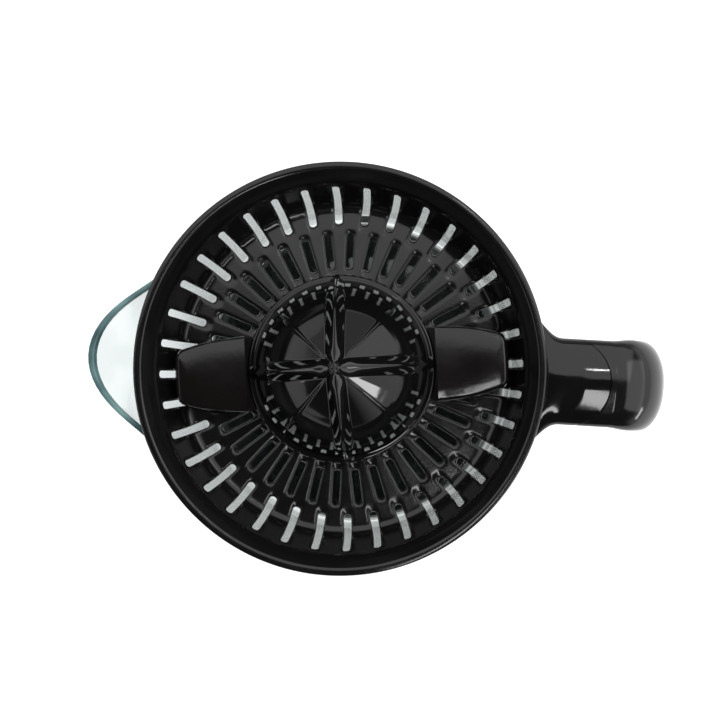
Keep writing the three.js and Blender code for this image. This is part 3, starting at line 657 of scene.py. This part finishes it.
# (x, z) down the grip's two sides, from the arm to the lower end
OUTER_SIDE = [(107, 180), (112.5, 179.2), (118, 176.6), (122.7, 171.6), (125.7, 164.6), (126.8, 155),
              (126.6, 142), (125.8, 126), (124.0, 110), (121.6, 100)]
INNER_SIDE = [(101, 166), (103.2, 165.3), (104.8, 163.4), (105.5, 160.4), (105.7, 156), (105.7, 150),
              (105.7, 140), (105.9, 126), (107, 110), (108.6, 100)]
AROUND = 96  # points round the handle's section
ARM_POWER = 3.0  # how square the arm's section is: 2 is an ellipse


def through(points, n):
    """n points on a smooth curve through `points`."""
    p = np.array([2 * np.array(points[0]) - points[1], *points, 2 * np.array(points[-1]) - points[-2]], float)
    out = []
    for u in np.linspace(0, len(points) - 1, n):
        i = min(int(u), len(points) - 2)
        t = u - i
        a, b, c, d = p[i:i + 4]
        square, cube = 2 * a - 5 * b + 4 * c - d, 3 * b - 3 * c + d - a
        out.append(0.5 * (2 * b + (c - a) * t + square * t ** 2 + cube * t ** 3))
    return np.array(out)


def section(power):
    """Unit section of the handle: (across, up) pairs round a rounded rectangle."""
    a = np.linspace(0, 2 * np.pi, AROUND, endpoint=False)
    c, s = np.cos(a), np.sin(a)
    return np.stack([np.sign(c) * np.abs(c) ** (2 / power), np.sign(s) * np.abs(s) ** (2 / power)], -1)


def seam_x(y):
    return SEAM_X - SEAM_R + np.sqrt(SEAM_R ** 2 - np.minimum(np.abs(y), HANDLE_HALF) ** 2)


def capped(name, rows, sharp=40):
    """A closed tube through rows of section points."""
    verts = np.concatenate(rows)
    n = AROUND
    faces = grid(len(rows), n, False, True)
    faces += [tuple(range(n)), tuple(len(verts) - 1 - k for k in range(n))]
    return mesh(name, verts, faces, sharp=sharp)


def arm_row(x_of, half, middle_z, thick, power):
    """One row round the arm, at x_of(y), with its top crowned."""
    across, up = section(power).T
    y = across * half
    crown = np.maximum(up, 0) * y ** 2 / (2 * CROWN_R)
    return np.stack([x_of(y), y, middle_z + up * thick - crown], -1)


def lug():
    """The arm from the collar to the seam. Its root follows the collar and flares along it."""
    thick = (HANDLE_TOP_Z - ARM_LOW_Z) / 2
    middle = (HANDLE_TOP_Z + ARM_LOW_Z) / 2
    rows = []
    for k in np.linspace(0, 1, 26):
        half = HANDLE_HALF + ROOT_FLARE * (1 - k) ** 2.4
        ring_x = lambda y: np.sqrt(COLLAR[1] ** 2 - y ** 2) - 0.6
        x_of = lambda y, k=k: ring_x(y) * (1 - k) + ARM_X * k
        lift = 1.2 * (1 - k) ** 2
        rows.append(arm_row(x_of, half, middle + lift, thick - 1.6 * (1 - k) ** 2, 3.6 - 0.6 * k))
    for k in np.linspace(0, 1, 30)[1:]:
        x_of = lambda y, k=k: ARM_X + (seam_x(y) - SEAM_HALF_GAP - ARM_X) * k
        rows.append(arm_row(x_of, HANDLE_HALF, middle, thick, ARM_POWER))
    for row in rows:
        away = np.hypot(row[:, 0] - JUG_TOP_R - 2.8, row[:, 1]) / HOLLOW_R
        row[:, 2] -= HOLLOW_DEPTH * np.clip(1 - away ** 2, 0, 1) * (row[:, 2] > middle)
    return capped("lug", rows)


def collar():
    """The band round the jug, open at the spout."""
    r0, r1, z0, z1 = COLLAR
    profile = filleted([(r0, z0, 0.5), (r1, z0, 1.0), (r1, z1, 0.5), (r0, z1, 0.3)], 4)
    ends = np.pi - COLLAR_OPEN
    angles = np.linspace(-ends, ends, 160)
    verts = [(r * math.cos(a), r * math.sin(a), z) for a in angles for r, z in profile]
    n = len(profile)
    faces = grid(len(angles), n, False, True)
    faces += [tuple(range(n)), tuple(len(verts) - 1 - k for k in range(n))]
    return mesh("collar", verts, faces)


def grip():
    """The outer part of the handle: over the arm's end, round the bend and down."""
    thick = (HANDLE_TOP_Z - ARM_LOW_Z) / 2
    middle = (HANDLE_TOP_Z + ARM_LOW_Z) / 2
    outer, inner = through(OUTER_SIDE, 64), through(INNER_SIDE, 64)
    down = []
    for i, (o, n) in enumerate(zip(outer, inner)):
        t = i / (len(outer) - 1)
        across, up = section(3.0 - 0.2 * t).T
        centre, reach = (o + n) / 2, (o - n) / 2
        half = HANDLE_HALF + 0.9 * smoothstep(0, 0.25, t) - 2.4 * smoothstep(0.4, 1, t)
        crown = np.maximum(up, 0) * (across * half) ** 2 / (2 * CROWN_R)
        aim = reach / np.linalg.norm(reach)
        down.append(np.stack([centre[0] + reach[0] * up - aim[0] * crown, across * half,
                              centre[1] + reach[1] * up - aim[1] * crown], -1))
    start = arm_row(lambda y: seam_x(y) + SEAM_HALF_GAP, HANDLE_HALF, middle, thick, ARM_POWER)
    rows = [start * (1 - k) + down[0] * k for k in np.linspace(0, 1, 8, endpoint=False)] + down
    low = down[-1]
    heart = low.mean(0)
    for k in np.linspace(0, 1, 14)[1:]:
        shrink = math.cos(k * math.pi / 2 * 0.985) ** 0.75
        sunk = heart + (low - heart) * shrink
        sunk[:, 2] -= 8.0 * math.sin(k * math.pi / 2)
        rows.append(sunk)
    return capped("handle_grip_fine", rows)


SCREW_Z = [float(sum(c[2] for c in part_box(n)) / 2 / MM) for n in ("grip_screw_1", "grip_screw_2")]


def drill(obj, radius, x0, x1):
    """Round recesses for the grip screws' heads."""
    for z in SCREW_Z:
        cutter = lathe("cutter", [(0.01, x0), (radius, x0), (radius, x1), (0.01, x1)], 32)
        cutter.data.transform(Matrix.Translation((0, 0, z * MM)) @ Matrix.Rotation(math.pi / 2, 4, "Y"))
        hole = obj.modifiers.new("hole", "BOOLEAN")
        hole.object = cutter
        hole.solver = "EXACT"
        settle(obj)
        bpy.data.objects.remove(cutter)
    obj.data.shade_smooth()
    obj.data.set_sharp_from_angle(angle=math.radians(35))
    return obj


def spine():
    """The strip of the frame that shows on the finger side of the grip."""
    across = np.array(filleted([(-8, 100, 4), (8, 100, 4), (8, 152, 4), (-8, 152, 4)], 8))
    n = len(across)
    centre = across.mean(0)
    verts = []
    for x, s in [(104.75, 0.93), (104.85, 0.975), (105.15, 1.0), (107.4, 1.0)]:
        verts += [(x, *(centre + (p - centre) * s)) for p in across]
    faces = grid(len(verts) // n, n, False, True)
    faces += [tuple(range(n)), tuple(len(verts) - 1 - k for k in range(n))]
    return mesh("spine", verts, faces)


def handle():
    screw_holes = (2.9, 100, 108)  # radius, and from which x to which
    frame_piece = merge("handle_frame_fine", collar(), lug(), drill(spine(), *screw_holes))
    place(frame_piece, GLOSS_BLACK, "jug", "black_plastic", "handle_frame")
    place(drill(grip(), *screw_holes), GRIP_BLACK, "jug", "satin_grip", "handle_grip")


handle()

# ---- base ----

BASE_R = BASE_HIGH[0] / MM
BASE_TOP_Z = 75.5
COLUMN_R = 12.5


def base():
    top = BASE_HIGH[2] / MM
    profile = spread(filleted([
        (BASE_R - 1, 4, 0.8), (BASE_R, 11, 5), (BASE_R - 1.4, 60, 40), (BASE_R - 3.2, BASE_TOP_Z, 4.5),
        (COLUMN_R + 0.8, BASE_TOP_Z, 2.5), (COLUMN_R - 1.8, top, 1.2), (8.4, top, 0.5), (8.4, 138, 0.2),
        (9.4, BASE_TOP_Z - 2.5, 1.5), (BASE_R - 6.0, BASE_TOP_Z - 2.5, 3), (BASE_R - 4.1, 60, 20),
        (BASE_R - 2.7, 11, 5), (BASE_R - 2.7, 4, 0.4),
    ]), 5)
    place(lathe("base_housing_fine", profile, 160), BASE_BLACK, "base", "black_plastic", "base_housing")


base()

# ---- stage, light and camera ----

def build_floor():
    data = bpy.data.meshes.new("floor")
    reach = 6.0
    corners = [(-reach, -reach, 0), (reach, -reach, 0), (reach, reach, 0), (-reach, reach, 0)]
    data.from_pydata(corners, [], [(0, 1, 2, 3)])
    floor = bpy.data.objects.new("floor", data)
    bpy.context.scene.collection.objects.link(floor)
    n = Nodes("floor_white")
    n.link(n.colours(n.noise(2), (0.78, 0.78, 0.78), (0.8, 0.8, 0.8)), n.bsdf.inputs["Base Color"])
    n.bsdf.inputs["Emission Color"].default_value = (1, 0.995, 0.995, 1)
    n.bsdf.inputs["Emission Strength"].default_value = 0.72
    n.bsdf.inputs["Roughness"].default_value = 0.9
    n.bsdf.inputs["Specular IOR Level"].default_value = 0.0
    data.materials.append(n.material)


def softbox(name, at, target, size, radiance, colour=(1, 1, 1)):
    """A rectangular lamp at `at` facing `target`, both in metres."""
    light = bpy.data.lights.new(name, "AREA")
    light.shape = "RECTANGLE"
    light.size, light.size_y = size
    light.energy = radiance * math.pi * size[0] * size[1]
    light.color = colour
    lamp = bpy.data.objects.new(name, light)
    lamp.location = at
    lamp.rotation_euler = (Vector(target) - Vector(at)).to_track_quat("-Z", "Y").to_euler()
    bpy.context.scene.collection.objects.link(lamp)


def build_world():
    """A dim ceiling over lighter walls: bright on the handle's side, lighter at the back, dark in front."""
    world = bpy.data.worlds.new("studio")
    world.use_nodes = True
    tree = world.node_tree
    background = tree.nodes["Background"]
    background.inputs["Color"].default_value = (1, 0.97, 0.96, 1)
    coords = tree.nodes.new("ShaderNodeTexCoord")
    split = tree.nodes.new("ShaderNodeSeparateXYZ")
    tree.links.new(coords.outputs["Generated"], split.inputs["Vector"])

    def between(source, start, end, low, high):
        node = tree.nodes.new("ShaderNodeMapRange")
        for key, value in (("From Min", start), ("From Max", end), ("To Min", low), ("To Max", high)):
            node.inputs[key].default_value = value
        tree.links.new(source, node.inputs["Value"])
        return node.outputs["Result"]

    def math_node(operation, *sources):
        node = tree.nodes.new("ShaderNodeMath")
        node.operation = operation
        for i, source in enumerate(sources):
            tree.links.new(source, node.inputs[i])
        return node.outputs["Value"]

    back = between(split.outputs["Y"], -0.6, 0.5, 0.05, 0.45)
    side = between(split.outputs["X"], 0.42, 0.62, 0, 0.8)
    walls = math_node("ADD", back, side)
    low = between(split.outputs["Z"], 0.2, 0.45, 1, 0)
    ceiling = between(split.outputs["Z"], 0.2, 0.45, 0, 0.03)
    strength = math_node("ADD", math_node("MULTIPLY", walls, low), ceiling)
    tree.links.new(strength, background.inputs["Strength"])
    bpy.context.scene.world = world


CAMERA_AT = Vector((0.062, -0.0058, 1.123))
CAMERA_TARGET = Vector((0.0088, 0.0030, RIM_Z * MM))
IMAGE_TURN = math.radians(3.3)  # the handle points this far below the image's horizontal
FOCAL_MM = 121.35


def build_camera():
    data = bpy.data.cameras.new("camera")
    data.lens = FOCAL_MM
    data.sensor_width = 36
    camera = bpy.data.objects.new("camera", data)
    back = (CAMERA_AT - CAMERA_TARGET).normalized()
    up = Vector((-math.sin(IMAGE_TURN), math.cos(IMAGE_TURN), 0))
    right = up.cross(back).normalized()
    up = back.cross(right)
    camera.matrix_world = Matrix((
        (right.x, up.x, back.x, CAMERA_AT.x), (right.y, up.y, back.y, CAMERA_AT.y),
        (right.z, up.z, back.z, CAMERA_AT.z), (0, 0, 0, 1)))
    bpy.context.scene.collection.objects.link(camera)
    bpy.context.scene.camera = camera


build_floor()
build_world()
MIDDLE = Vector((0, 0, 0.17))  # of the bowl
ARM_ROOT = (0.1, 0, 0.18)  # on top of the handle's arm


def towards(azimuth, zenith, distance):
    """The point `distance` metres from the bowl's middle, in degrees round and down from above."""
    a, z = math.radians(azimuth), math.radians(zenith)
    return MIDDLE + distance * Vector((math.sin(z) * math.cos(a), math.sin(z) * math.sin(a), math.cos(z)))


softbox("front_strip", (0.163, -0.47, 1.38), ARM_ROOT, (0.083, 0.72), 10)
softbox("back_panel", towards(90, 35.5, 1.6), MIDDLE, (2.6, 1.95), 1.3)
softbox("right_panel", towards(0, 51, 1.7), MIDDLE, (2.0, 1.6), 1.5)
softbox("left_panel", towards(180, 50, 1.7), MIDDLE, (1.4, 1.0), 0.8)
softbox("right_box", (1.30, -0.75, 0.36), MIDDLE, (0.50, 0.16), 11)
softbox("left_box", (-1.45, -0.39, 0.23), MIDDLE, (0.50, 0.17), 4)
softbox("spot", (0.154, 0.34, 1.45), ARM_ROOT, (0.014, 0.05), 60)
build_camera()
bpy.context.scene.view_settings.view_transform = "Standard"
